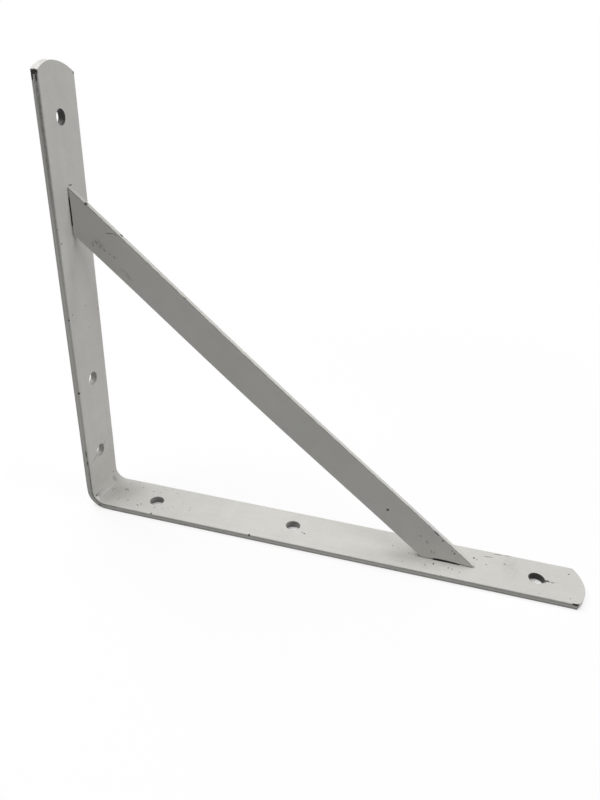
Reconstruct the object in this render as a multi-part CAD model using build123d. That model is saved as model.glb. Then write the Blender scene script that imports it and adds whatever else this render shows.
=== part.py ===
from build123d import *
import os
from math import atan2, cos, sin, tan

# Shelf bracket: a flat steel bar bent once to an L, and a thinner flat bar welded across it as a brace.
# The upright leg goes against the wall and the level leg carries the shelf.
# X runs out from the wall, Y across the bar and Z up the wall. The underside of the level leg is at Z = 0,
# the middle of the bar's width at Y = 0, and the bracket's length is centred on X = 0.

# Flat bar of the two legs
BAR_WIDTH = 30.0
BAR_THICKNESS = 4.0
BAR_EDGE_ROUND = 0.7
BEND_INNER_RADIUS = 7.5

# Legs, measured over their outer faces from the corner that the bend cuts off
UPRIGHT_HEIGHT = 250.0
LEVEL_LENGTH = 300.0

# Cropped leg ends: each is an arc on either side of a crown that lies a little in front of the middle
UPRIGHT_CROWN_SHIFT = 2.6
UPRIGHT_FRONT_DROP = 4.4
UPRIGHT_BACK_DROP = 5.1
LEVEL_CROWN_SHIFT = 0.9
LEVEL_FRONT_DROP = 5.2
LEVEL_BACK_DROP = 5.1

# Fixing holes, three in each leg. Two are placed from the corner, and the last from the leg's end
UPRIGHT_HOLE_DIAMETER = 7.8
UPRIGHT_LOW_HOLE = 34.5
UPRIGHT_MIDDLE_HOLE = 84.0
UPRIGHT_END_INSET = 24.5
LEVEL_HOLE_DIAMETER = 8.6
LEVEL_NEAR_HOLE = 41.0
LEVEL_MIDDLE_HOLE = 130.5
LEVEL_END_INSET = 26.0

# The holes are staggered: each lies this far behind the middle of the bar, or in front of it where negative
UPRIGHT_LOW_STAGGER = -0.8
UPRIGHT_MIDDLE_STAGGER = 0.2
UPRIGHT_END_STAGGER = -0.9
LEVEL_NEAR_STAGGER = -1.5
LEVEL_MIDDLE_STAGGER = 1.7
LEVEL_END_STAGGER = -0.4

# Brace: a flat bar on edge, mitred to both legs, a little in front of the middle of their width
BRACE_WIDTH = 19.1
BRACE_THICKNESS = 3.0
BRACE_EDGE_ROUND = 0.4
BRACE_SHIFT = 1.3
BRACE_BELOW_TOP = 56.9
BRACE_BEFORE_END = 61.5

# Welds: at each end of the brace two pads of weld metal hold it off the leg and leave a slit between them
WELD_HEIGHT = 0.7
WELD_SIDE_STEP = 0.2
UPPER_WELD_AT_TIP = 5.7
UPPER_WELD_AT_HEEL = 4.0
LOWER_WELD_AT_TIP = 8.2
LOWER_WELD_AT_HEEL = 7.4

# Faces that the pieces share
HALF_WIDTH = BAR_WIDTH / 2
WALL_FACE_X = -LEVEL_LENGTH / 2
UPRIGHT_INNER_X = WALL_FACE_X + BAR_THICKNESS
LEVEL_TOP_Z = BAR_THICKNESS
BEND_OUTER_RADIUS = BEND_INNER_RADIUS + BAR_THICKNESS
BRACE_Y = -BRACE_SHIFT


def leg(plane, length, crown_shift, front_drop, back_drop, hole_diameter, hole_places):
    """One flat leg drawn on its broad face, along the leg and across the bar, with its end arcs and holes."""
    front_corner = (length - front_drop, -HALF_WIDTH)
    back_corner = (length - back_drop, HALF_WIDTH)
    crown = (length, -crown_shift)
    outline = Polyline(front_corner, (BEND_OUTER_RADIUS, -HALF_WIDTH), (BEND_OUTER_RADIUS, HALF_WIDTH), back_corner)
    outline += TangentArc(crown, back_corner, tangent=(0, 1))
    outline += TangentArc(crown, front_corner, tangent=(0, -1))
    shape = make_face(outline)
    for place in hole_places:
        shape -= Pos(*place) * Circle(hole_diameter / 2)
    return extrude(plane * shape, amount=BAR_THICKNESS)


def bend():
    """Quarter ring that joins the two legs, with the bar's full thickness all the way round."""
    centre = (WALL_FACE_X + BEND_OUTER_RADIUS, BEND_OUTER_RADIUS)
    corner = Pos(WALL_FACE_X + BEND_OUTER_RADIUS / 2, BEND_OUTER_RADIUS / 2)
    ring = Pos(*centre) * (Circle(BEND_OUTER_RADIUS) - Circle(BEND_INNER_RADIUS))
    quarter = ring & corner * Rectangle(BEND_OUTER_RADIUS, BEND_OUTER_RADIUS)
    return extrude(Plane.XZ * quarter, amount=HALF_WIDTH, both=True)


def angle_bar():
    """The bent bar in one piece, with its long edges rounded from end to end."""
    upright_plane = Plane(origin=(UPRIGHT_INNER_X, 0, 0), x_dir=(0, 0, 1), z_dir=(-1, 0, 0))
    upright_holes = [
        (UPRIGHT_LOW_HOLE, UPRIGHT_LOW_STAGGER),
        (UPRIGHT_MIDDLE_HOLE, UPRIGHT_MIDDLE_STAGGER),
        (UPRIGHT_HEIGHT - UPRIGHT_END_INSET, UPRIGHT_END_STAGGER),
    ]
    upright = leg(upright_plane, UPRIGHT_HEIGHT, UPRIGHT_CROWN_SHIFT, UPRIGHT_FRONT_DROP, UPRIGHT_BACK_DROP,
                  UPRIGHT_HOLE_DIAMETER, upright_holes)
    level_plane = Plane(origin=(WALL_FACE_X, 0, 0), x_dir=(1, 0, 0), z_dir=(0, 0, 1))
    level_holes = [
        (LEVEL_NEAR_HOLE, LEVEL_NEAR_STAGGER),
        (LEVEL_MIDDLE_HOLE, LEVEL_MIDDLE_STAGGER),
        (LEVEL_LENGTH - LEVEL_END_INSET, LEVEL_END_STAGGER),
    ]
    level = leg(level_plane, LEVEL_LENGTH, LEVEL_CROWN_SHIFT, LEVEL_FRONT_DROP, LEVEL_BACK_DROP,
                LEVEL_HOLE_DIAMETER, level_holes)
    bar = upright + bend() + level
    sides = bar.faces().filter_by(Axis.Y)
    # The two shortest edges of a side cross the thickness at the leg ends, and stay sharp
    long_edges = [edge for side in sides for edge in side.edges().sort_by(SortBy.LENGTH)[2:]]
    return fillet(long_edges, min(BAR_EDGE_ROUND, BAR_THICKNESS * 0.45))


# Brace and slit, seen from the front: its outer edge, carried on, meets the two legs' inner faces
BRACE_RUN = LEVEL_LENGTH - BRACE_BEFORE_END - BAR_THICKNESS
BRACE_RISE = UPRIGHT_HEIGHT - BRACE_BELOW_TOP - BAR_THICKNESS
BRACE_SLOPE = atan2(BRACE_RISE, BRACE_RUN)
UPPER_TIP_Z = LEVEL_TOP_Z + BRACE_RISE - WELD_HEIGHT * tan(BRACE_SLOPE)
UPPER_HEEL_Z = UPPER_TIP_Z - BRACE_WIDTH / cos(BRACE_SLOPE)
LOWER_TIP_X = UPRIGHT_INNER_X + BRACE_RUN - WELD_HEIGHT / tan(BRACE_SLOPE)
LOWER_HEEL_X = LOWER_TIP_X - BRACE_WIDTH / sin(BRACE_SLOPE)
UPPER_END_X = UPRIGHT_INNER_X + WELD_HEIGHT
LOWER_END_Z = LEVEL_TOP_Z + WELD_HEIGHT


def diagonal_brace():
    """Flat bar on edge between the legs, its mitred ends parallel to the faces that they are welded to."""
    corners = [
        (UPPER_END_X, UPPER_TIP_Z),
        (UPPER_END_X, UPPER_HEEL_Z),
        (LOWER_HEEL_X, LOWER_END_Z),
        (LOWER_TIP_X, LOWER_END_Z),
    ]
    side = make_face(Polyline(*corners, close=True))
    bar = Pos(0, BRACE_Y, 0) * extrude(Plane.XZ * side, amount=BRACE_THICKNESS / 2, both=True)
    long_edges = bar.edges().sort_by(SortBy.LENGTH)[-4:]
    return fillet(long_edges, min(BRACE_EDGE_ROUND, BRACE_THICKNESS * 0.45))


def weld_pads(plane, tip, heel, tip_length, heel_length):
    """Two pads of weld metal on a leg's face, one from the brace's tip and one from its heel."""
    width = BRACE_THICKNESS - 2 * WELD_SIDE_STEP
    inward = 1 if heel > tip else -1
    pads = Part()
    for place, length in ((tip + inward * tip_length / 2, tip_length), (heel - inward * heel_length / 2, heel_length)):
        pad = RectangleRounded(length, width, 0.4 * min(length, width))
        pads += extrude(plane * Pos(place, BRACE_Y) * pad, amount=WELD_HEIGHT)
    return pads


def upper_welds():
    """Pads on the upright leg, along Z."""
    plane = Plane(origin=(UPPER_END_X, 0, 0), x_dir=(0, 0, 1), z_dir=(-1, 0, 0))
    return weld_pads(plane, UPPER_TIP_Z, UPPER_HEEL_Z, UPPER_WELD_AT_TIP, UPPER_WELD_AT_HEEL)


def lower_welds():
    """Pads on the level leg, along X."""
    plane = Plane(origin=(0, 0, LEVEL_TOP_Z), x_dir=(1, 0, 0), z_dir=(0, 0, 1))
    return weld_pads(plane, LOWER_TIP_X, LOWER_HEEL_X, LOWER_WELD_AT_TIP, LOWER_WELD_AT_HEEL)


PIECES = {
    "angle_bar": angle_bar,
    "diagonal_brace": diagonal_brace,
    "upper_welds": upper_welds,
    "lower_welds": lower_welds,
}

os.makedirs("parts", exist_ok=True)
for name, make_piece in PIECES.items():
    export_step(make_piece(), f"parts/{name}.step")
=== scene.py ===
import math

import bmesh
import bpy
from mathutils import Matrix, Vector, noise


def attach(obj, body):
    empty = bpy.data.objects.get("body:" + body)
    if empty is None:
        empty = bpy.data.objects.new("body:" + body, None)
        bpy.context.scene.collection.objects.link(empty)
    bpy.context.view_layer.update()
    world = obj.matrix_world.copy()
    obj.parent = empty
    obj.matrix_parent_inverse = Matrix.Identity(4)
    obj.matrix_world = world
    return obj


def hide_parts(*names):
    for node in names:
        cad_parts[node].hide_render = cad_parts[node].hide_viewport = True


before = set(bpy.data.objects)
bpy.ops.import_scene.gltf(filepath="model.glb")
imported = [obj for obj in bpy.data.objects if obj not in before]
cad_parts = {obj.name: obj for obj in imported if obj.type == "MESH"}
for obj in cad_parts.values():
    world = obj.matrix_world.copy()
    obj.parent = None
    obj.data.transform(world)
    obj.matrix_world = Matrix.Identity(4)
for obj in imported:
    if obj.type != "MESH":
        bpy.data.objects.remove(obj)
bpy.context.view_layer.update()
scene = bpy.context.scene

# Lengths are in mm until a mesh is finished. X runs out from the wall, Y across the bar and Z up the wall.
# The bracket's length is centred on X = 0, and the underside of the level leg is at Z = 0
MM = 0.001
LEVEL_LENGTH = 300.0
UPRIGHT_HEIGHT = 250.0
HALF_WIDTH = 15.0
THICKNESS = 4.0
INNER_RADIUS = 7.5
OUTER_RADIUS = INNER_RADIUS + THICKNESS
BEND_LENGTH = math.pi / 2 * (INNER_RADIUS + THICKNESS / 2)
WALL_X = -LEVEL_LENGTH / 2
INNER_X = WALL_X + THICKNESS
BEND_CENTRE_X = WALL_X + OUTER_RADIUS

# Leg ends: crown's shift to the front, and how far the front and back corners drop below the crown
LEVEL_END = (0.9, 5.2, 5.1)
UPRIGHT_END = (2.6, 4.4, 5.1)

# Holes: distance from the corner, place across the bar, radius
LEVEL_HOLES = ((41.0, -1.5, 4.3), (130.5, 1.7, 4.3), (274.0, -0.4, 4.3))
UPRIGHT_HOLES = ((34.5, -0.8, 3.9), (84.0, 0.2, 3.9), (225.5, -0.9, 3.6))
END_HOLE_FROM = 200.0

# The stretched outer side draws in at the bend, and the sheared edges wander inwards, as shares of the width
BEND_NARROWING = 0.03
EDGE_WANDER = 0.004

# Brace: its size and places, its sag towards the corner, its taper and the height of the weld pads under it
BRACE_WIDTH = 19.1
BRACE_THICKNESS = 3.0
BRACE_Y = -1.3
BRACE_BELOW_TOP = 56.9
BRACE_BEFORE_END = 61.5
BRACE_SAG = 0.6
BRACE_SAG_LIFT = 0.15
BRACE_TAPER = 0.45
WELD_HEIGHT = 0.7

# Brace seen from the front, as X and Z: its outer edge, carried on, meets the two legs' inner faces
BRACE_RUN = LEVEL_LENGTH - BRACE_BEFORE_END - THICKNESS
BRACE_RISE = UPRIGHT_HEIGHT - BRACE_BELOW_TOP - THICKNESS
SLOPE = math.atan2(BRACE_RISE, BRACE_RUN)
UPPER_TIP = Vector((INNER_X + WELD_HEIGHT, THICKNESS + BRACE_RISE - WELD_HEIGHT * math.tan(SLOPE)))
UPPER_HEEL = UPPER_TIP - Vector((0, BRACE_WIDTH / math.cos(SLOPE)))
LOWER_TIP = Vector((INNER_X + BRACE_RUN - WELD_HEIGHT / math.tan(SLOPE), THICKNESS + WELD_HEIGHT))
LOWER_HEEL = LOWER_TIP - Vector((BRACE_WIDTH / math.sin(SLOPE), 0))

# Slits at the brace's ends: from and to, in Z on the upright leg and in X on the level leg
UPPER_SLIT = (173.5, 188.2)
LOWER_SLIT = (65.8, 81.3)
UPPER_HOLLOW = 0.12
LOWER_HOLLOW = 1.6

# Boxes of painted shade, black in the slits: centre and half size
SLITS = (
    ((INNER_X + 0.32, BRACE_Y, sum(UPPER_SLIT) / 2), (0.42, 1.6, (UPPER_SLIT[1] - UPPER_SLIT[0]) / 2)),
    ((sum(LOWER_SLIT) / 2, BRACE_Y, THICKNESS + 0.4), ((LOWER_SLIT[1] - LOWER_SLIT[0]) / 2, 1.62, 0.5)),
)

# Weld pads at the brace's tip and heel: their lengths, and how far they run out beyond it
UPPER_PADS = (4.6, 4.7)
UPPER_TOES = (WELD_HEIGHT * math.tan(SLOPE), 0.4)
LOWER_PADS = (8.1, 6.7)
LOWER_TOES = (0.4, 1.0)
PAD_SECTIONS = 24

# Rounds of the edges, and the share of the bar's round that its edges take
BAR_ROUND = 0.8
INNER_EDGE_SHARE = 0.8
END_EDGE_SHARE = 0.3
CORNER_SHARE = 0.35
BRACE_ROUND = 0.4
WELD_ROUND = 0.1

# Mesh of the bar: places across it, rows along it, and the patch round a hole with its reach to either side
COLUMNS = 20
ACROSS = [-HALF_WIDTH + 2 * HALF_WIDTH * j / COLUMNS for j in range(COLUMNS + 1)]
ROW_STEP = 3.0
ROWS_BEFORE_BEND = 6
ROWS_ROUND_BEND = 20
ROWS_AT_TOP = 5
PATCH_REACH = 11.0
PATCH_SIDE = 14
PATCH_RINGS = (0.0, 0.08, 0.22, 0.42, 0.68, 1.0)

# Mesh of the brace
BRACE_ROWS = 90
BRACE_COLUMNS = 30

# Camera, matched to the photo
PICTURE_WIDTH_PX = 600
PICTURE_HEIGHT_PX = 800
FOCAL_PX = 630.5
CENTRE_X_PX = 297.4
CENTRE_Y_PX = 408.3
SENSOR_MM = 36
CAMERA_MM = (50.64, -297.76, 251.70)
CAMERA_AZIMUTH = 0.234
CAMERA_HEIGHT_ANGLE = 0.494
CAMERA_ROLL = 0.053

# Lamps, in metres and watts: place, target, size, power
TOP_LAMP = ((-0.7, 0.08, 1.72), (0, 0, 0), (1.8, 1.9), 38)
SIDE_LAMP = ((1.6, -0.1, 0.66), (0, 0, 0.1), (1.3, 1.3), 13.6)
WORLD_STRENGTH = 0.05

# Floor, in metres
FLOOR_REACH = 3.0
FLOOR_DROP = 0.0003

# Colours
PAINT = (0.665, 0.658, 0.624)
WARM_TINT = (1.015, 0.99, 0.97)
LIGHT = (0.86, 0.855, 0.83)
SEAM_SHADE = (0.38, 0.376, 0.355)
FAINT = (0.34, 0.335, 0.315)
SPECK = (0.16, 0.155, 0.145)
SHEARED = (0.12, 0.118, 0.11)
DOT_AND_SHADE = (0.11, 0.107, 0.1)
CHIP_AND_SHADE = (0.03, 0.028, 0.026)
BARE_STEEL = (0.02, 0.019, 0.018)
SLIT_BLACK = (0.008, 0.008, 0.008)

# Painted light and shade along the bar, as paler and darker stretches: from and to along it from the corner,
# and the factor beyond them
BAR_LIGHT_AND_SHADE = ((-55, -15, 0.9), (0, 14, 1.11), (60, 120, 1.045), (185, 240, 0.9))

# Marks on the paint: place along, place across, half length, half width, turn in degrees.
# The place along is X on the level leg, Z on the upright leg and an angle up from the level leg on the bend.
# On the fronts of the brace and of the bar the two places are X and Z, and on the brace's upper edge X and Y
LEVEL_DOTS = (
    (89.3, 6.1, 0.75, 0.5, 20), (91.0, 5.1, 0.35, 0.25, 0), (106.7, 6.2, 0.55, 0.4, 0),
    (142.3, 8.8, 0.6, 0.4, 0), (66.6, -6.4, 0.7, 0.4, 100), (75.2, -7.2, 0.8, 0.2, 70),
    (77.2, -7.6, 0.6, 0.2, 75), (81.5, -8.9, 0.4, 0.28, 0), (-11.1, -3.5, 0.55, 0.5, 0),
    (-12.7, -2.6, 0.5, 0.35, 30), (-118.7, -9.4, 0.6, 0.45, 0), (-116.9, -7.7, 0.6, 0.25, 80),
    (-126.7, -6.6, 0.5, 0.35, 0), (-107.5, -8.3, 0.35, 0.25, 0), (-106.8, -14.4, 0.6, 0.5, 0),
    (-42.5, -14.7, 0.6, 0.6, 0), (129.6, -1.0, 1.5, 0.75, 8), (128.4, -1.4, 0.5, 1.7, 0),
    (132.6, -1.4, 0.9, 0.3, 0),
)
LEVEL_STROKES = (
    (-133.7, 3.6, 1.4, 0.3, -56), (-132.7, 4.3, 0.85, 0.25, -102), (-131.9, 3.0, 1.1, 0.28, -28),
    (49.2, -9.8, 0.5, 0.3, 0), (51.9, -1.6, 0.5, 0.3, 0), (41.9, 2.3, 0.5, 0.3, 0),
    (96.3, 2.5, 0.9, 0.25, -35), (62.0, -8.6, 1.0, 0.22, -50), (141.1, -11.3, 0.4, 0.3, 0),
    (-133.1, -7.9, 0.4, 0.3, 0), (-132.8, -5.9, 0.4, 0.3, 0), (-133.4, 10.6, 0.4, 0.3, 0),
    (-128.8, 13.8, 0.4, 0.3, 0), (-99.3, -6.1, 0.35, 0.3, 0), (-96.8, -4.2, 0.35, 0.3, 0),
    (-85.8, -3.9, 0.35, 0.3, 0), (-92.5, 2.5, 0.35, 0.25, 0), (-115.3, 7.0, 0.5, 0.3, 0),
    (-110.8, 7.2, 0.5, 0.3, 0), (-104.4, 12.8, 0.5, 0.3, 0), (-100.1, 10.0, 0.5, 0.3, 0),
    (-123.7, 8.8, 0.5, 0.3, 0), (-102.2, -7.6, 0.4, 0.3, 0), (-86.0, -1.5, 0.5, 0.3, 30),
    (97.5, 9.8, 2.6, 0.3, 3), (103.2, 13.6, 2.5, 0.3, 8), (108.6, 14.2, 1.6, 0.3, 6),
    (124.4, -12.8, 0.35, 0.25, 0),
)
# Painted shade on the level leg: in front of the brace's lower end, and beside the upright leg near the bend
LEVEL_PAINTED_SHADE = ((48.0, -4.0, 16.0, 7.5, 0), (57.0, 1.0, 9.0, 6.0, 0), (-129.0, 4.5, 13.0, 13.0, 0))
LEVEL_SMEARS = ((133.0, -1.0, 4.5, 1.0, 8), (110.0, 4.0, 6.0, 13.0, 0))
UPRIGHT_DOTS = (
    (166.7, -13.7, 0.5, 0.35, 0), (128.6, 1.3, 0.4, 0.3, 0), (123.6, 12.9, 0.4, 0.3, 0),
    (127.8, -12.1, 0.45, 0.3, 0), (115.6, 2.5, 0.4, 0.3, 0), (193.7, 0.2, 0.4, 1.4, 0),
)
UPRIGHT_LINES = ((34.5, -2.5, 11.6, 0.26, -69.4),)
UPRIGHT_SMEARS = ((238.0, 0.0, 9.0, 5.0, 20), (205.0, 2.0, 16.0, 4.0, 5), (160.0, -8.0, 22.0, 2.0, 0))
# Painted shade on the upright leg's top end
END_PAINTED_SHADE = ((248.2, -4.5, 4.0, 9.0, 0),)
BEND_DOTS = (
    (59.5, -12.7, 0.7, 0.6, 0), (84.3, 10.5, 0.5, 0.4, 0),
    (20.0, -0.2, 0.4, 0.35, 0), (16.0, 1.4, 0.35, 0.3, 0),
)
BEND_SMEARS = (
    (52.0, 8.8, 2.8, 3.4, 30), (57.0, -10.8, 2.0, 2.6, -30),
    (60.0, -8.6, 1.3, 1.2, 0), (60.0, -6.4, 0.9, 1.4, 0),
)
BEND_SPOTS = ((45.8, -13.1, 1.3, 0.9, 20),)
# Painted highlight along the bend's crease
BEND_HIGHLIGHTS = ((38.0, -1.3, 0.7, 11.0, -5),)
EDGE_CHIPS = (
    (-146.6, 81.0, 0.7, 0.7, 0), (-146.7, 125.6, 0.5, 0.4, 0), (-147.0, 39.5, 0.3, 2.4, 2),
    (-147.0, 32.6, 0.3, 1.7, 0), (-142.0, 2.3, 1.3, 0.35, 22), (-146.7, 174.0, 0.3, 0.4, 0),
)
BRACE_EDGE_DOTS = ((-136.6, -2.1, 0.95, 0.85, 0), (-118.6, -0.9, 0.9, 0.7, 0))
BRACE_DOTS = (
    (36.3, 32.9, 0.75, 0.75, 0), (77.2, 11.5, 0.55, 0.5, 0), (75.7, 13.1, 0.4, 0.35, 0),
    (69.6, 18.8, 0.45, 0.45, 0),
)
BRACE_STROKES = (
    (-124.3, 172.0, 2.4, 0.25, -42), (-121.3, 171.6, 0.8, 0.22, -5), (-83.3, 142.5, 0.6, 0.5, 0),
    (-73.6, 135.0, 2.6, 0.45, 0), (65.4, 23.1, 2.2, 0.5, 0), (-134.7, 165.5, 1.5, 0.22, 47),
    (-132.7, 166.7, 1.1, 0.22, -3), (-130.4, 164.6, 1.0, 0.22, 81), (-128.2, 163.0, 1.0, 0.25, 18),
    (-125.3, 161.2, 0.45, 0.25, -9), (-122.8, 159.7, 0.9, 0.25, 5), (56.9, 19.2, 0.5, 0.35, 0),
    (61.0, 15.8, 1.3, 0.25, 20), (64.4, 9.6, 1.1, 0.22, 45), (66.0, 9.4, 1.1, 0.22, 45),
)
BRACE_SMEARS = ((-117.0, 151.6, 6.0, 1.6, 0), (-131.0, 165.5, 5.0, 3.0, 10))

# Chips at the corners of the leg ends: centre and half size in X, Y and Z
CORNER_CHIPS = (
    ((-148.0, -15.0, 245.0), (2.1, 0.9, 1.3)),
    ((-149.2, -15.0, 243.0), (0.6, 0.6, 2.0)),
    ((-147.0, -15.0, 243.0), (0.45, 0.5, 1.8)),
    ((-146.1, 14.5, 244.8), (0.9, 1.1, 0.9)),
    ((143.5, -14.9, 3.6), (1.7, 0.6, 0.7)),
    ((145.0, -14.4, 2.9), (0.5, 0.8, 1.3)),
    ((144.6, -14.9, 0.5), (0.9, 0.6, 0.6)),
)

# Each row: marks, the face they are on, their colour, their strength and their kind
BAR_MARKS = (
    (LEVEL_PAINTED_SHADE, "level", FAINT, 0.26, "shade"),
    (END_PAINTED_SHADE, "end", FAINT, 0.85, "smear"),
    (LEVEL_SMEARS, "level", FAINT, 0.22, "smear"),
    (UPRIGHT_SMEARS, "upright", FAINT, 0.1, "smear"),
    (BEND_SMEARS, "bend", DOT_AND_SHADE, 0.4, "smear"),
    (LEVEL_STROKES, "level", DOT_AND_SHADE, 0.75, "chip"),
    (LEVEL_DOTS, "level", CHIP_AND_SHADE, 0.9, "chip"),
    (UPRIGHT_DOTS, "upright", DOT_AND_SHADE, 0.85, "chip"),
    (UPRIGHT_LINES, "upright", DOT_AND_SHADE, 0.95, "line"),
    (BEND_DOTS, "bend", CHIP_AND_SHADE, 0.8, "chip"),
    (BEND_HIGHLIGHTS, "bend", LIGHT, 0.3, "line"),
    (BEND_SPOTS, "bend", LIGHT, 0.9, "chip"),
    (EDGE_CHIPS, "front", CHIP_AND_SHADE, 0.9, "chip"),
)
BRACE_MARKS = (
    (BRACE_SMEARS, "brace", FAINT, 0.4, "smear"),
    (BRACE_STROKES, "brace", DOT_AND_SHADE, 0.7, "chip"),
    (BRACE_DOTS, "brace", CHIP_AND_SHADE, 0.9, "chip"),
    (BRACE_EDGE_DOTS, "brace_edge", CHIP_AND_SHADE, 0.9, "chip"),
)

# Where a mark of each kind ends and where it is full, as shares of its size
MARK_EDGES = {"chip": (1.25, 0.85), "line": (1.2, 0.5), "smear": (1.1, 0.2), "shade": (1.05, 0.1)}

# How far a mark reaches into each face
MARK_DEPTHS = {
    "level": 1.2, "upright": 1.2, "bend": 1.2, "end": 1.5, "front": 1.0, "brace_edge": 1.1, "brace": 0.9,
}


def set_camera():
    data = bpy.data.cameras.new("camera")
    data.sensor_width = SENSOR_MM
    data.lens = FOCAL_PX * SENSOR_MM / PICTURE_HEIGHT_PX
    data.shift_x = (PICTURE_WIDTH_PX / 2 - CENTRE_X_PX) / PICTURE_HEIGHT_PX
    data.shift_y = (CENTRE_Y_PX - PICTURE_HEIGHT_PX / 2) / PICTURE_HEIGHT_PX
    data.clip_start = 0.01
    data.clip_end = 50
    camera = bpy.data.objects.new("camera", data)
    scene.collection.objects.link(camera)
    az, el, roll = CAMERA_AZIMUTH, CAMERA_HEIGHT_ANGLE, CAMERA_ROLL
    back = Vector((math.sin(az) * math.cos(el), -math.cos(az) * math.cos(el), math.sin(el)))
    level_right = (-back).cross(Vector((0, 0, 1))).normalized()
    level_up = level_right.cross(-back)
    right = math.cos(roll) * level_right + math.sin(roll) * level_up
    up = -math.sin(roll) * level_right + math.cos(roll) * level_up
    matrix = Matrix((right, up, back)).transposed().to_4x4()
    matrix.translation = Vector(CAMERA_MM) * MM
    camera.matrix_world = matrix
    scene.camera = camera


def lamp(name, place, target, size, power):
    data = bpy.data.lights.new(name, "AREA")
    data.shape = "RECTANGLE"
    data.size, data.size_y = size
    data.energy = power
    item = bpy.data.objects.new(name, data)
    scene.collection.objects.link(item)
    item.location = place
    item.rotation_euler = (Vector(target) - Vector(place)).to_track_quat("-Z", "Y").to_euler()


class Web:
    """Short calls that build a node tree. A value is a node's output or a plain number or tuple."""

    def __init__(self, tree):
        self.tree = tree
        tree.nodes.clear()

    def node(self, kind, **settings):
        made = self.tree.nodes.new(kind)
        for key, value in settings.items():
            setattr(made, key, value)
        return made

    def feed(self, socket, value):
        if isinstance(value, bpy.types.NodeSocket):
            self.tree.links.new(value, socket)
        elif value is not None:
            socket.default_value = value

    def maths(self, operation, *values):
        made = self.node("ShaderNodeMath", operation=operation)
        for socket, value in zip(made.inputs, values):
            self.feed(socket, value)
        return made.outputs[0]

    def vector(self, operation, *values):
        made = self.node("ShaderNodeVectorMath", operation=operation)
        for socket, value in zip(made.inputs, values):
            self.feed(socket, value)
        return made.outputs["Value" if operation in ("LENGTH", "DISTANCE", "DOT_PRODUCT") else "Vector"]

    def combine(self, x, y, z):
        made = self.node("ShaderNodeCombineXYZ")
        for socket, value in zip(made.inputs, (x, y, z)):
            self.feed(socket, value)
        return made.outputs[0]

    def noise(self, place, scale, detail=2.0, rough=0.5, colour=False):
        made = self.node("ShaderNodeTexNoise")
        self.feed(made.inputs["Vector"], place)
        made.inputs["Scale"].default_value = scale
        made.inputs["Detail"].default_value = detail
        made.inputs["Roughness"].default_value = rough
        return made.outputs["Color" if colour else "Fac"]

    def ramp(self, value, low, high, first=0.0, last=1.0, smooth=True):
        made = self.node("ShaderNodeMapRange", interpolation_type="SMOOTHSTEP" if smooth else "LINEAR")
        self.feed(made.inputs["Value"], value)
        for name, number in (("From Min", low), ("From Max", high), ("To Min", first), ("To Max", last)):
            self.feed(made.inputs[name], number)
        return made.outputs["Result"]

    def mix(self, factor, first, second, blend="MIX"):
        made = self.node("ShaderNodeMix", data_type="RGBA", blend_type=blend)
        self.feed(made.inputs["Factor"], factor)
        self.feed(made.inputs[6], first)
        self.feed(made.inputs[7], second)
        return made.outputs[2]

    def mix_shaders(self, factor, first, second):
        made = self.node("ShaderNodeMixShader")
        for socket, value in zip(made.inputs, (factor, first, second)):
            self.feed(socket, value)
        return made.outputs[0]

    def grey(self, value):
        return self.combine(value, value, value)

    def within(self, place, spot, size, turned=(0, 0, 0)):
        """Place as seen from a spot, in shares of a size."""
        made = self.node("ShaderNodeMapping", vector_type="TEXTURE")
        self.feed(made.inputs["Vector"], place)
        made.inputs["Location"].default_value = spot
        made.inputs["Rotation"].default_value = turned
        made.inputs["Scale"].default_value = size
        return made.outputs[0]

    def nearest(self, places):
        """Length of the shortest of several vectors."""
        shortest = None
        for place in places:
            away = self.vector("LENGTH", place)
            shortest = away if shortest is None else self.maths("MINIMUM", shortest, away)
        return shortest

    def seen(self):
        """One for what the camera sees, also in a reflection or through glass, and nought for other light."""
        path = self.node("ShaderNodeLightPath")
        direct = self.maths("MAXIMUM", path.outputs["Is Camera Ray"], path.outputs["Is Glossy Ray"])
        return self.maths("MAXIMUM", direct, path.outputs["Is Transmission Ray"])


def grid(lines, first, last):
    """Faces between two cross lines. A line gives the length along the bar for a place across it."""
    rows = []
    for i in range(lines + 1):
        share = i / lines
        rows.append([(first(y) * (1 - share) + last(y) * share, y) for y in ACROSS])
    faces = []
    for a, b in zip(rows, rows[1:]):
        faces += [(a[j], a[j + 1], b[j + 1], b[j]) for j in range(COLUMNS)]
    return faces


def hole_patch(start, end, centre, radius):
    """Rings of faces from a round hole out to a rectangle across the whole bar."""
    along = [start + (end - start) * i / PATCH_SIDE for i in range(PATCH_SIDE + 1)]
    frame_points = [(start, y) for y in ACROSS]
    frame_points += [(s, ACROSS[-1]) for s in along[1:]]
    frame_points += [(end, y) for y in reversed(ACROSS[:-1])]
    frame_points += [(s, ACROSS[0]) for s in reversed(along[1:-1])]
    rings = []
    for share in PATCH_RINGS:
        ring = []
        for s, y in frame_points:
            reach = Vector((s - centre[0], y - centre[1]))
            rim = reach.normalized() * radius
            spot = rim.lerp(reach, share)
            ring.append((s, y) if share == 1.0 else (centre[0] + spot.x, centre[1] + spot.y))
        rings.append(ring)
    faces = []
    count = len(frame_points)
    for inner, outer in zip(rings, rings[1:]):
        for i in range(count):
            j = (i + 1) % count
            faces.append((inner[i], outer[i], outer[j], inner[j]))
    return faces


def end_line(sign, length, end):
    """Length along the bar at its cropped end, for a place across it."""
    shift, front, back = end

    def place(y):
        width, drop = (HALF_WIDTH - shift, front) if y < -shift else (HALF_WIDTH + shift, back)
        radius = (width * width + drop * drop) / (2 * drop)
        fall = radius - math.sqrt(radius * radius - (y + shift) ** 2)
        return sign * (length - fall)
    return place


def cross_line(value):
    """Straight line across the bar."""
    return lambda y: value


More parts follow.
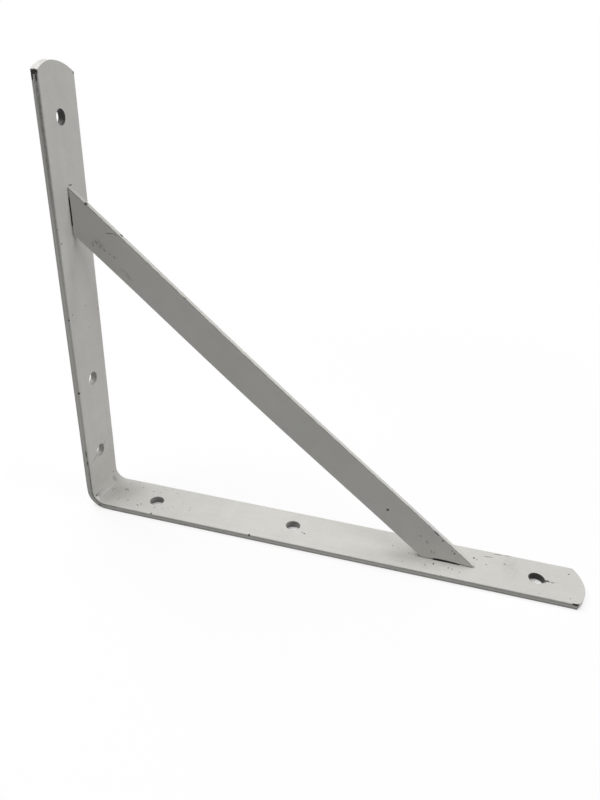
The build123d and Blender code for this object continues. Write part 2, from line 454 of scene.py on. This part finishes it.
def bend_point(s, y, h):
    """Place of a point at length s from the bend's middle, y across the bar and h above its outer face."""
    half = BEND_LENGTH / 2
    near = max(0.0, 1 - abs(s) / (half + 4)) ** 0.6
    y *= 1 - BEND_NARROWING * near * (1 - h / THICKNESS)
    wander = 0.5 + 0.5 * noise.noise(Vector((s / 16, 7.3 if y > 0 else 2.1, h / 3)))
    y *= 1 - EDGE_WANDER * wander
    if s < -half:
        return Vector((BEND_CENTRE_X - s - half, y, h))
    if s > half:
        return Vector((WALL_X + h, y, OUTER_RADIUS + s - half))
    angle = (s + half) / BEND_LENGTH * math.pi / 2
    reach = OUTER_RADIUS - h
    return Vector((BEND_CENTRE_X - reach * math.sin(angle), y, OUTER_RADIUS - reach * math.cos(angle)))


def finish_mesh(name, bm, bevel, segments, node):
    mesh = bpy.data.meshes.new(name)
    for vertex in bm.verts:
        vertex.co *= MM
    bmesh.ops.recalc_face_normals(bm, faces=bm.faces)
    for face in bm.faces:
        face.smooth = True
    bm.to_mesh(mesh)
    bm.free()
    item = bpy.data.objects.new(name, mesh)
    scene.collection.objects.link(item)
    modifier = item.modifiers.new("edges", "BEVEL")
    modifier.limit_method = "WEIGHT"
    modifier.width = bevel * MM
    modifier.segments = segments
    modifier.use_clamp_overlap = False
    modifier.harden_normals = True
    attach(item, "root")
    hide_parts(node)
    return item


def leg_faces(sign, shift, holes, last):
    """Faces of one leg from a cross line on, past its holes, and the cross line after the last of them."""
    faces = []
    for place, y, radius in holes:
        start = sign * (place - sign * PATCH_REACH - shift)
        middle = sign * (place - shift)
        end = sign * (place + sign * PATCH_REACH - shift)
        faces += grid(max(3, round(abs(start - last(0)) / ROW_STEP)), last, cross_line(start))
        faces += hole_patch(start, end, (middle, y), radius)
        last = cross_line(end)
    return faces, last


def bar_faces():
    """Faces of the bar laid out flat, from the level leg's end to the upright leg's end."""
    # A hole is placed from the corner, and a point of the flat bar from the bend's middle
    shift = OUTER_RADIUS - BEND_LENGTH / 2
    level_end = end_line(-1, LEVEL_LENGTH - shift, LEVEL_END)
    upright_end = end_line(1, UPRIGHT_HEIGHT - shift, UPRIGHT_END)
    bend_start = cross_line(-BEND_LENGTH / 2)
    bend_end = cross_line(BEND_LENGTH / 2)
    faces, last = leg_faces(-1, shift, reversed(LEVEL_HOLES), level_end)
    faces += grid(ROWS_BEFORE_BEND, last, bend_start)
    faces += grid(ROWS_ROUND_BEND, bend_start, bend_end)
    upright, last = leg_faces(1, shift, UPRIGHT_HOLES, bend_end)
    return faces + upright + grid(ROWS_AT_TOP, last, upright_end)


def on_long_edge(key):
    return abs(abs(key[1]) - HALF_WIDTH) < 0.01


def angle_bar():
    faces = bar_faces()
    bm = bmesh.new()
    weight = bm.edges.layers.float.new("bevel_weight_edge")
    sheets = []
    for h in (0.0, THICKNESS):
        sheet = {}
        for face in faces:
            corners = []
            for s, y in face:
                key = (round(s, 3), round(y, 3))
                if key not in sheet:
                    sheet[key] = bm.verts.new(bend_point(s, y, h))
                corners.append(sheet[key])
            bm.faces.new(corners)
        sheets.append(sheet)
    lower, upper = sheets
    key_of = {vertex: key for key, vertex in lower.items()}
    rims = [edge for edge in bm.edges if len(edge.link_faces) == 1 and edge.verts[0] in key_of]
    for edge in rims:
        a, b = edge.verts
        c, d = upper[key_of[a]], upper[key_of[b]]
        bm.faces.new((a, b, d, c))
        long_edge = on_long_edge(key_of[a]) and on_long_edge(key_of[b])
        edge[weight] = 1.0 if long_edge else END_EDGE_SHARE
        bm.edges.get((c, d))[weight] = INNER_EDGE_SHARE if long_edge else END_EDGE_SHARE
    for vertex, key in key_of.items():
        if on_long_edge(key) and len([edge for edge in vertex.link_edges if edge[weight] > 0.9]) == 1:
            bm.edges.get((vertex, upper[key]))[weight] = CORNER_SHARE
    return finish_mesh("angle_bar_painted", bm, BAR_ROUND, 4, "angle_bar")


def brace_shift(share, width):
    """The brace sags a little towards the corner in its middle, and its ends stay on their mitres."""
    out = BRACE_SAG * (BRACE_SAG_LIFT + math.cos(2 * math.pi * share))
    out += BRACE_TAPER * (2 * share - 1) * (1 - width)
    upper_end = Vector((0, out / math.cos(SLOPE)))
    lower_end = Vector((out / math.sin(SLOPE), 0))
    return upper_end.lerp(lower_end, share)


def brace_spot(share, width):
    """Place on the brace as X and Z, by shares of its length and of its width from the outer edge."""
    upper = UPPER_TIP.lerp(UPPER_HEEL, width)
    lower = LOWER_TIP.lerp(LOWER_HEEL, width)
    spot = upper.lerp(lower, share) + brace_shift(share, width)
    # The slits widen between the pads of weld metal
    up = (spot.y - UPPER_SLIT[0]) / (UPPER_SLIT[1] - UPPER_SLIT[0])
    out = (spot.x - LOWER_SLIT[0]) / (LOWER_SLIT[1] - LOWER_SLIT[0])
    if share == 0 and 0 < up < 1:
        spot.x += UPPER_HOLLOW * math.sin(math.pi * up)
    if share == 1 and 0 < out < 1:
        spot.y += LOWER_HOLLOW * out ** 0.4 * (1 - out)
    return spot


def brace():
    bm = bmesh.new()
    weight = bm.edges.layers.float.new("bevel_weight_edge")
    half = BRACE_THICKNESS / 2
    known = {}

    def vertex(i, j, k):
        key = (i, j, k)
        if key not in known:
            spot = brace_spot(i / BRACE_ROWS, j / BRACE_COLUMNS)
            known[key] = bm.verts.new((spot.x, BRACE_Y + (half if k else -half), spot.y))
        return known[key]

    for i in range(BRACE_ROWS):
        for j in range(BRACE_COLUMNS):
            for k in (0, 1):
                near, far = vertex(i, j, k), vertex(i + 1, j, k)
                bm.faces.new([near, far, vertex(i + 1, j + 1, k), vertex(i, j + 1, k)])
        for j in (0, BRACE_COLUMNS):
            bm.faces.new([vertex(i, j, 0), vertex(i + 1, j, 0), vertex(i + 1, j, 1), vertex(i, j, 1)])
            for k in (0, 1):
                bm.edges.get((vertex(i, j, k), vertex(i + 1, j, k)))[weight] = 1.0
    for i in (0, BRACE_ROWS):
        for j in range(BRACE_COLUMNS):
            bm.faces.new([vertex(i, j, 0), vertex(i, j + 1, 0), vertex(i, j + 1, 1), vertex(i, j, 1)])
            for k in (0, 1):
                bm.edges.get((vertex(i, j, k), vertex(i, j + 1, k)))[weight] = END_EDGE_SHARE
        for j in (0, BRACE_COLUMNS):
            bm.edges.get((vertex(i, j, 0), vertex(i, j, 1)))[weight] = END_EDGE_SHARE
    return finish_mesh("diagonal_brace_painted", bm, BRACE_ROUND, 3, "diagonal_brace")


def welds(name, node, origin, run, rise, ends, lengths, toes):
    """Two pads of weld metal: origin and run lie on the leg's face, and rise points off it."""
    bm = bmesh.new()
    bm.edges.layers.float.new("bevel_weight_edge")
    tip, heel = ends
    inward = 1 if heel > tip else -1
    half = BRACE_THICKNESS / 2
    pads = ((tip, tip + inward * lengths[0], toes[0]), (heel, heel - inward * lengths[1], toes[1]))
    for outer, inner, beyond in pads:
        out = 1 if outer > inner else -1
        length = abs(outer - inner)
        sections = []
        for i in range(PAD_SECTIONS + 1):
            place = (length + beyond) * i / PAD_SECTIONS
            # The inner end thins out between the two pieces of metal, and the outer end runs out on the leg
            fade = min(1.0, place / (0.3 * length))
            fall = 1.0 if place < length else 1 - 0.85 * (place - length) / beyond
            height = WELD_HEIGHT * fall * (0.5 + 0.5 * fade)
            wide = half * (0.98 if place < length else 0.95 * math.sqrt(max(0.05, fall))) * (0.6 + 0.4 * fade)
            wide += 0.05 * noise.noise(Vector((place * 1.3, outer, 0.5)))
            foot = wide + 0.12
            base = origin + run * (inner + out * place)
            outline = (
                (-foot, 0), (foot, 0), (wide, height * 0.4),
                (wide, height), (-wide, height), (-wide, height * 0.4),
            )
            sections.append([bm.verts.new(base + Vector((0, BRACE_Y + y, 0)) + rise * h) for y, h in outline])
        for one, two in zip(sections, sections[1:]):
            for i in range(6):
                j = (i + 1) % 6
                bm.faces.new((one[i], one[j], two[j], two[i]))
        bm.faces.new(sections[0])
        bm.faces.new(sections[-1])
    return finish_mesh(name, bm, WELD_ROUND, 1, node)


def upper_welds():
    """Pads on the upright leg, along Z."""
    tip = UPPER_TIP + brace_shift(0, 0)
    heel = UPPER_HEEL + brace_shift(0, 1)
    return welds("upper_weld_metal", "upper_welds", Vector((INNER_X, 0, 0)), Vector((0, 0, 1)),
                 Vector((1, 0, 0)), (tip.y, heel.y), UPPER_PADS, UPPER_TOES)


def lower_welds():
    """Pads on the level leg, along X."""
    tip = LOWER_TIP + brace_shift(1, 0)
    heel = LOWER_HEEL + brace_shift(1, 1)
    return welds("lower_weld_metal", "lower_welds", Vector((0, 0, THICKNESS)), Vector((1, 0, 0)),
                 Vector((0, 0, 1)), (tip.x, heel.x), LOWER_PADS, LOWER_TOES)


def mark_frame(face, along, across, length, width, turn):
    """Centre, half size and turn of a mark on a face, in X, Y and Z."""
    angle = math.radians(turn)
    depth = MARK_DEPTHS[face]
    if face == "level":
        return (along, across, THICKNESS), (length, width, depth), (0, 0, angle)
    if face == "upright":
        return (INNER_X, across, along), (depth, width, length), (angle, 0, 0)
    if face == "end":
        return (WALL_X + THICKNESS / 2, across, along), (depth, width, length), (angle, 0, 0)
    if face == "front":
        return (along, -HALF_WIDTH, across), (length, depth, width), (0, angle, 0)
    if face == "bend":
        lean = math.radians(along)
        x = BEND_CENTRE_X - INNER_RADIUS * math.sin(lean)
        z = OUTER_RADIUS - INNER_RADIUS * math.cos(lean)
        return (x, across, z), (length, width, depth), (0, lean, angle)
    if face == "brace_edge":
        z = UPPER_TIP.y - (along - UPPER_TIP.x) * math.tan(SLOPE) + 0.2
        return (along, across, z), (length, width, depth), (0, SLOPE + angle, 0)
    return (along, BRACE_Y - BRACE_THICKNESS / 2, across), (length, depth, width), (0, SLOPE + angle, 0)


def bar_lines(web, place, colour):
    """Dark bands and a thin dark line on the sheared narrow faces, and painted light and shade along the bar.
    """
    parts = web.node("ShaderNodeSeparateXYZ")
    web.feed(parts.inputs[0], place)
    x, y, z = parts.outputs
    # Height above the bar's outer face, also round the bend
    inward = web.vector("SUBTRACT", (BEND_CENTRE_X, 0, OUTER_RADIUS), place)
    inward = web.vector("MULTIPLY", web.vector("MAXIMUM", inward, (0, 0, 0)), (1, 0, 1))
    height = web.maths("SUBTRACT", OUTER_RADIUS, web.vector("LENGTH", inward))
    # Length along the bar: from the corner outwards on the level leg, and less than nought on the upright leg
    along = web.maths("SUBTRACT", web.maths("SUBTRACT", x, WALL_X), z)

    def stretched(along_scale, height_scale):
        first = web.maths("MULTIPLY", along, along_scale)
        return web.combine(first, y, web.maths("MULTIPLY", height, height_scale))

    on_side = web.ramp(web.maths("ABSOLUTE", y), 14.25, 14.7)
    streak = web.noise(stretched(0.07, 0.8), 1.0, 3, 0.6)
    blot = web.noise(stretched(0.5, 1.2), 1.0, 2, 0.6)
    wander = web.ramp(streak, 0.3, 0.7, -0.18, 0.18, False)
    # A band beside the inner face, wide and dark on top of the upright leg and narrow round the bend
    middle = web.ramp(along, -160, -60, 2.85, 3.2)
    inner = web.maths("ABSOLUTE", web.maths("ADD", web.maths("SUBTRACT", height, middle), wander))
    reach = web.ramp(along, -240, -110, 1.7, 0.9)
    shade = web.ramp(along, -240, -110, 0.68, 0.22)
    shade = web.maths("MAXIMUM", shade, web.ramp(along, -60, -30, 0.0, 0.34))
    inner = web.maths("MULTIPLY", web.ramp(inner, 0.1, reach, 1.0, 0.0), shade)
    # A band beside the outer face, mostly on the level leg
    outer = web.maths("ABSOLUTE", web.maths("ADD", web.maths("SUBTRACT", height, 0.75), wander))
    outer = web.maths("MULTIPLY", web.ramp(outer, 0.3, 0.9, 1.0, 0.0), web.ramp(along, -12, 8, 0.16, 0.54))
    # A thin dark line on the inner edge round the bend
    rim = web.ramp(web.maths("ABSOLUTE", web.maths("SUBTRACT", height, 3.55)), 0.15, 0.5, 0.8, 0.0)
    rim = web.maths("MULTIPLY", rim, web.ramp(along, -45, -15))
    rim = web.maths("MULTIPLY", rim, web.ramp(along, 8, 30, 1.0, 0.0))
    dark = web.maths("MAXIMUM", web.maths("MAXIMUM", inner, outer), rim)
    dark = web.maths("MULTIPLY", dark, web.ramp(blot, 0.35, 0.65, 0.75, 1.2))
    dark = web.maths("MULTIPLY", dark, on_side)
    colour = web.mix(dark, colour, (*SHEARED, 1))
    # Lengthwise streaks of the rolled bar, and pale bands across it
    rolled = web.noise(web.combine(web.maths("MULTIPLY", along, 0.012), y, 0), 0.3, 2, 0.6)
    bands = web.noise(web.combine(web.maths("MULTIPLY", along, 0.085), 0, 0), 1.0, 1)
    rolled = web.ramp(rolled, 0.3, 0.7, -0.015, 0.015, False)
    tone = web.maths("ADD", rolled, web.ramp(bands, 0.3, 0.7, 0.985, 1.015, False))
    # Painted light and shade: paler and darker stretches along the bar
    for start, end, factor in BAR_LIGHT_AND_SHADE:
        tone = web.maths("MULTIPLY", tone, web.ramp(along, start, end, 1.0, factor))
    return web.mix(1.0, colour, web.grey(tone), "MULTIPLY")


def hole_walls(web, place, colour):
    """Painted shade on the walls of the holes, and bare steel in the hole near each leg's end. The hole near
    each leg's end is the darkest.
    """
    level = [((WALL_X + run, y, 0), (1, 1, 0), radius, run, 0.55) for run, y, radius in LEVEL_HOLES]
    upright = [((0, y, run), (0, 1, 1), radius, run, 0.35) for run, y, radius in UPRIGHT_HOLES]
    for centre, axes, radius, run, wall_shade in level + upright:
        flat = web.vector("MULTIPLY", place, axes)
        away = web.vector("DISTANCE", flat, centre)
        # Bare steel in the hole near a leg's end, and painted shade on the walls of the other holes
        worn, shade = (0.95, CHIP_AND_SHADE) if run > END_HOLE_FROM else (wall_shade, DOT_AND_SHADE)
        inside = web.ramp(away, radius + 0.12, radius + 0.32, worn, 0.0)
        colour = web.mix(inside, colour, (*shade, 1))
    return colour


def corner_chips(web, place, colour):
    """Paint knocked off the leg ends, down to dark steel."""
    worn = web.noise(place, 0.9, 3, 0.7)
    nearest = web.nearest(web.within(place, spot, size) for spot, size in CORNER_CHIPS)
    nearest = web.maths("ADD", nearest, web.ramp(worn, 0.3, 0.7, -0.35, 0.35, False))
    inside = web.ramp(nearest, 1.05, 0.85)
    return web.mix(inside, colour, (*BARE_STEEL, 1)), inside


def brace_rim(web, place, colour):
    """A darker line where the brace's outer edge is rounded at the front."""
    parts = web.node("ShaderNodeSeparateXYZ")
    web.feed(parts.inputs[0], web.vector("SUBTRACT", place, (UPPER_TIP.x, BRACE_Y, UPPER_TIP.y)))
    x, y, z = parts.outputs
    share = web.maths("DIVIDE", x, LOWER_TIP.x - UPPER_TIP.x)
    sag = web.maths("COSINE", web.maths("MULTIPLY", share, 2 * math.pi))
    sag = web.maths("MULTIPLY", web.maths("ADD", sag, BRACE_SAG_LIFT), BRACE_SAG)
    taper = web.maths("SUBTRACT", web.maths("MULTIPLY", share, 2), 1)
    sag = web.maths("ADD", sag, web.maths("MULTIPLY", taper, BRACE_TAPER))
    # Distance out from the straight line between the two tips
    outward = web.maths("MULTIPLY", x, math.sin(SLOPE))
    outward = web.maths("ADD", outward, web.maths("MULTIPLY", z, math.cos(SLOPE)))
    near = web.ramp(web.maths("SUBTRACT", outward, sag), -0.6, -0.25)
    near = web.maths("MULTIPLY", near, web.ramp(y, -1.35, -1.1, 1.0, 0.0))
    worn = web.ramp(web.noise(place, 0.25, 3, 0.6), 0.35, 0.6, 0.15, 0.6)
    return web.mix(web.maths("MULTIPLY", near, worn), colour, (*SHEARED, 1))


def slit_shade(web, place, colour):
    """Painted shade: black in the two slits, on the leg's face and on the brace's end."""
    for spot, size in SLITS:
        inside = web.within(place, spot, size)
        parts = web.node("ShaderNodeSeparateXYZ")
        web.feed(parts.inputs[0], web.vector("ABSOLUTE", inside))
        x, y, z = parts.outputs
        away = web.maths("MAXIMUM", web.maths("MAXIMUM", x, y), z)
        colour = web.mix(web.ramp(away, 0.95, 1.05, 1.0, 0.0), colour, (*SLIT_BLACK, 1))
    return colour


def weld_shades(web, place, colour):
    """Painted shade between the pieces of metal and as a dark blob at the lower heel, and paint beyond the
    tip.
    """
    parts = web.node("ShaderNodeSeparateXYZ")
    web.feed(parts.inputs[0], place)
    x, _, z = parts.outputs
    outward = web.maths("MULTIPLY", web.maths("SUBTRACT", x, UPPER_TIP.x), math.sin(SLOPE))
    upward = web.maths("MULTIPLY", web.maths("SUBTRACT", z, UPPER_TIP.y), math.cos(SLOPE))
    outward = web.maths("ADD", outward, upward)
    # Painted shade between the pieces of metal
    colour = web.mix(web.ramp(outward, -0.2, 0.3, 1.0, 0.0), colour, (*SEAM_SHADE, 1))
    # Painted shade: a dark blob in the corner at the lower heel
    heel = web.ramp(outward, -BRACE_WIDTH - 0.1, -BRACE_WIDTH + 0.3, 1.0, 0.0)
    heel = web.maths("MULTIPLY", heel, web.ramp(x, -1, 1))
    return web.mix(heel, colour, (*CHIP_AND_SHADE, 1))


def paint_tone(web, place, broad):
    """The paint's colour with its slight unevenness."""
    middle = web.noise(place, 0.12, 3)
    fine = web.noise(place, 1.1, 3, 0.7)
    tone = web.ramp(broad, 0.3, 0.7, -0.02, 0.02, False)
    finer = web.ramp(middle, 0.3, 0.7, -0.02, 0.02, False)
    finer = web.maths("ADD", finer, web.ramp(fine, 0.3, 0.7, -0.03, 0.03, False))
    tone = web.maths("ADD", web.maths("ADD", tone, finer), 1.0)
    colour = web.mix(1.0, (*PAINT, 1), web.grey(tone), "MULTIPLY")
    warm = web.ramp(web.noise(place, 0.05, 2), 0.45, 0.75, 0.0, 0.5)
    return web.mix(warm, colour, web.mix(1.0, colour, (*WARM_TINT, 1), "MULTIPLY"))


def paint_marks(web, place, torn, colour, marks):
    """Adds rows of marks, and tells where paint is chipped off. Only chips have ragged outlines."""
    chipped = None
    for rows, face, shade, strength, kind in marks:
        where = torn if kind == "chip" else place
        nearest = web.nearest(web.within(where, *mark_frame(face, *row)) for row in rows)
        inside = web.ramp(nearest, *MARK_EDGES[kind], 0.0, strength)
        if kind == "smear":
            uneven = web.ramp(web.noise(place, 0.45, 3, 0.6), 0.35, 0.65, 0.3, 1.2)
            inside = web.maths("MULTIPLY", inside, uneven)
        colour = web.mix(inside, colour, (*shade, 1))
        if kind == "chip":
            chipped = inside if chipped is None else web.maths("MAXIMUM", chipped, inside)
    return colour, chipped


def paint_specks(web, torn, broad, colour):
    """Fine specks, thicker in some places than in others."""
    cells = web.node("ShaderNodeTexVoronoi", feature="F1")
    web.feed(cells.inputs["Vector"], torn)
    cells.inputs["Scale"].default_value = 0.35
    chance = web.vector("DOT_PRODUCT", cells.outputs["Color"], (1.0, 0.0, 0.0))
    chance = web.maths("ADD", chance, web.ramp(broad, 0.35, 0.65, -0.25, 0.1))
    size = web.ramp(chance, 0.72, 1.0, 0.0, 0.12, False)
    speck = web.maths("MULTIPLY", web.maths("LESS_THAN", cells.outputs["Distance"], size), 0.45)
    return web.mix(speck, colour, (*SPECK, 1))


def paint(name, kind, marks=()):
    """Light grey paint on steel, for the bar, the brace or the welds."""
    material = bpy.data.materials.new(name)
    material.use_nodes = True
    web = Web(material.node_tree)
    scaled = web.node("ShaderNodeVectorMath", operation="SCALE")
    web.feed(scaled.inputs[0], web.node("ShaderNodeTexCoord").outputs["Object"])
    scaled.inputs["Scale"].default_value = 1 / MM
    place = scaled.outputs["Vector"]
    broad = web.noise(place, 0.02, 2)
    colour = paint_tone(web, place, broad)
    ragged = web.vector("SUBTRACT", web.noise(place, 1.6, 2, 0.6, True), (0.5, 0.5, 0.5))
    torn = web.vector("ADD", place, web.vector("MULTIPLY", ragged, (0.5, 0.5, 0.5)))

    if kind == "bar":
        colour = bar_lines(web, place, colour)
        colour = hole_walls(web, place, colour)
    if kind == "brace":
        colour = brace_rim(web, place, colour)
    colour, chipped = paint_marks(web, place, torn, colour, marks)
    colour = paint_specks(web, torn, broad, colour)
    # Painted shade: on the welds between the pieces of metal, and on the bar and the brace in the two slits
    if kind == "weld":
        colour = weld_shades(web, place, colour)
    else:
        colour = slit_shade(web, place, colour)
    if kind == "bar":
        colour, bare = corner_chips(web, place, colour)
        chipped = web.maths("MAXIMUM", chipped, bare)

    shader = web.node("ShaderNodeBsdfPrincipled")
    web.feed(shader.inputs["Base Color"], colour)
    shader.inputs["Specular IOR Level"].default_value = 0.4
    rough = web.ramp(web.noise(place, 0.5, 3), 0.3, 0.7, 0.48, 0.6, False)
    relief = web.maths("MULTIPLY", web.noise(place, 0.8, 3, 0.6), 0.12)
    if chipped is not None:
        rough = web.maths("ADD", rough, web.maths("MULTIPLY", chipped, 0.25))
    web.feed(shader.inputs["Roughness"], rough)
    bump = web.node("ShaderNodeBump")
    bump.inputs["Strength"].default_value = 1.0
    bump.inputs["Distance"].default_value = 0.0001
    web.feed(bump.inputs["Height"], relief)
    web.feed(shader.inputs["Normal"], bump.outputs[0])
    out = web.node("ShaderNodeOutputMaterial")
    web.feed(out.inputs[0], shader.outputs[0])
    return material


def floor_paint():
    """White to the camera with the bracket's soft shadow on it, and greyer for the light it gives back."""
    material = bpy.data.materials.new("floor_paint")
    material.use_nodes = True
    web = Web(material.node_tree)
    lit = web.node("ShaderNodeBsdfDiffuse")
    lit.inputs["Color"].default_value = (1, 1, 1, 1)
    white = web.node("ShaderNodeEmission")
    white.inputs["Color"].default_value = (1, 1, 1, 1)
    grey = web.node("ShaderNodeBsdfDiffuse")
    grey.inputs["Color"].default_value = (0.4, 0.4, 0.4, 1)
    place = web.node("ShaderNodeTexCoord").outputs["Object"]
    far = web.ramp(web.vector("LENGTH", place), 0.2, 0.55, 0.8, 1.0)
    # What the holes let see is the floor as the lamps light it
    parts = web.node("ShaderNodeSeparateXYZ")
    web.feed(parts.inputs[0], web.vector("ABSOLUTE", place))
    x, y, _ = parts.outputs
    beside = web.maths("MAXIMUM", web.ramp(x, 0.141, 0.15), web.ramp(y, 0.008, 0.015))
    far = web.maths("MULTIPLY", far, beside)
    seen = web.mix_shaders(far, lit.outputs[0], white.outputs[0])
    both = web.mix_shaders(web.seen(), grey.outputs[0], seen)
    out = web.node("ShaderNodeOutputMaterial")
    web.feed(out.inputs[0], both)
    return material


def build_floor():
    reach = FLOOR_REACH
    mesh = bpy.data.meshes.new("floor")
    corners = [(-reach, -reach, 0), (reach, -reach, 0), (reach, reach, 0), (-reach, reach, 0)]
    mesh.from_pydata(corners, [], [(0, 1, 2, 3)])
    item = bpy.data.objects.new("floor", mesh)
    scene.collection.objects.link(item)
    item.location.z = -FLOOR_DROP
    mesh.materials.append(floor_paint())


def build_world():
    """White to the camera, and faint as a light."""
    world = bpy.data.worlds.new("world")
    scene.world = world
    world.use_nodes = True
    web = Web(world.node_tree)
    shown = web.node("ShaderNodeBackground")
    shown.inputs["Color"].default_value = (1, 1, 1, 1)
    shown.inputs["Strength"].default_value = 1.0
    light = web.node("ShaderNodeBackground")
    light.inputs["Color"].default_value = (1, 1, 1, 1)
    light.inputs["Strength"].default_value = WORLD_STRENGTH
    both = web.mix_shaders(web.seen(), light.outputs[0], shown.outputs[0])
    out = web.node("ShaderNodeOutputWorld")
    web.feed(out.inputs[0], both)


set_camera()
lamp("top_light", *TOP_LAMP)
lamp("side_light", *SIDE_LAMP)
build_world()
build_floor()
angle_bar().data.materials.append(paint("bar_paint", "bar", BAR_MARKS))
brace().data.materials.append(paint("brace_finish", "brace", BRACE_MARKS))
pads = (upper_welds(), lower_welds())
weld_paint_and_shade = paint("weld_paint_and_shade", "weld")
for pad in pads:
    pad.data.materials.append(weld_paint_and_shade)
scene.view_settings.view_transform = "Standard"
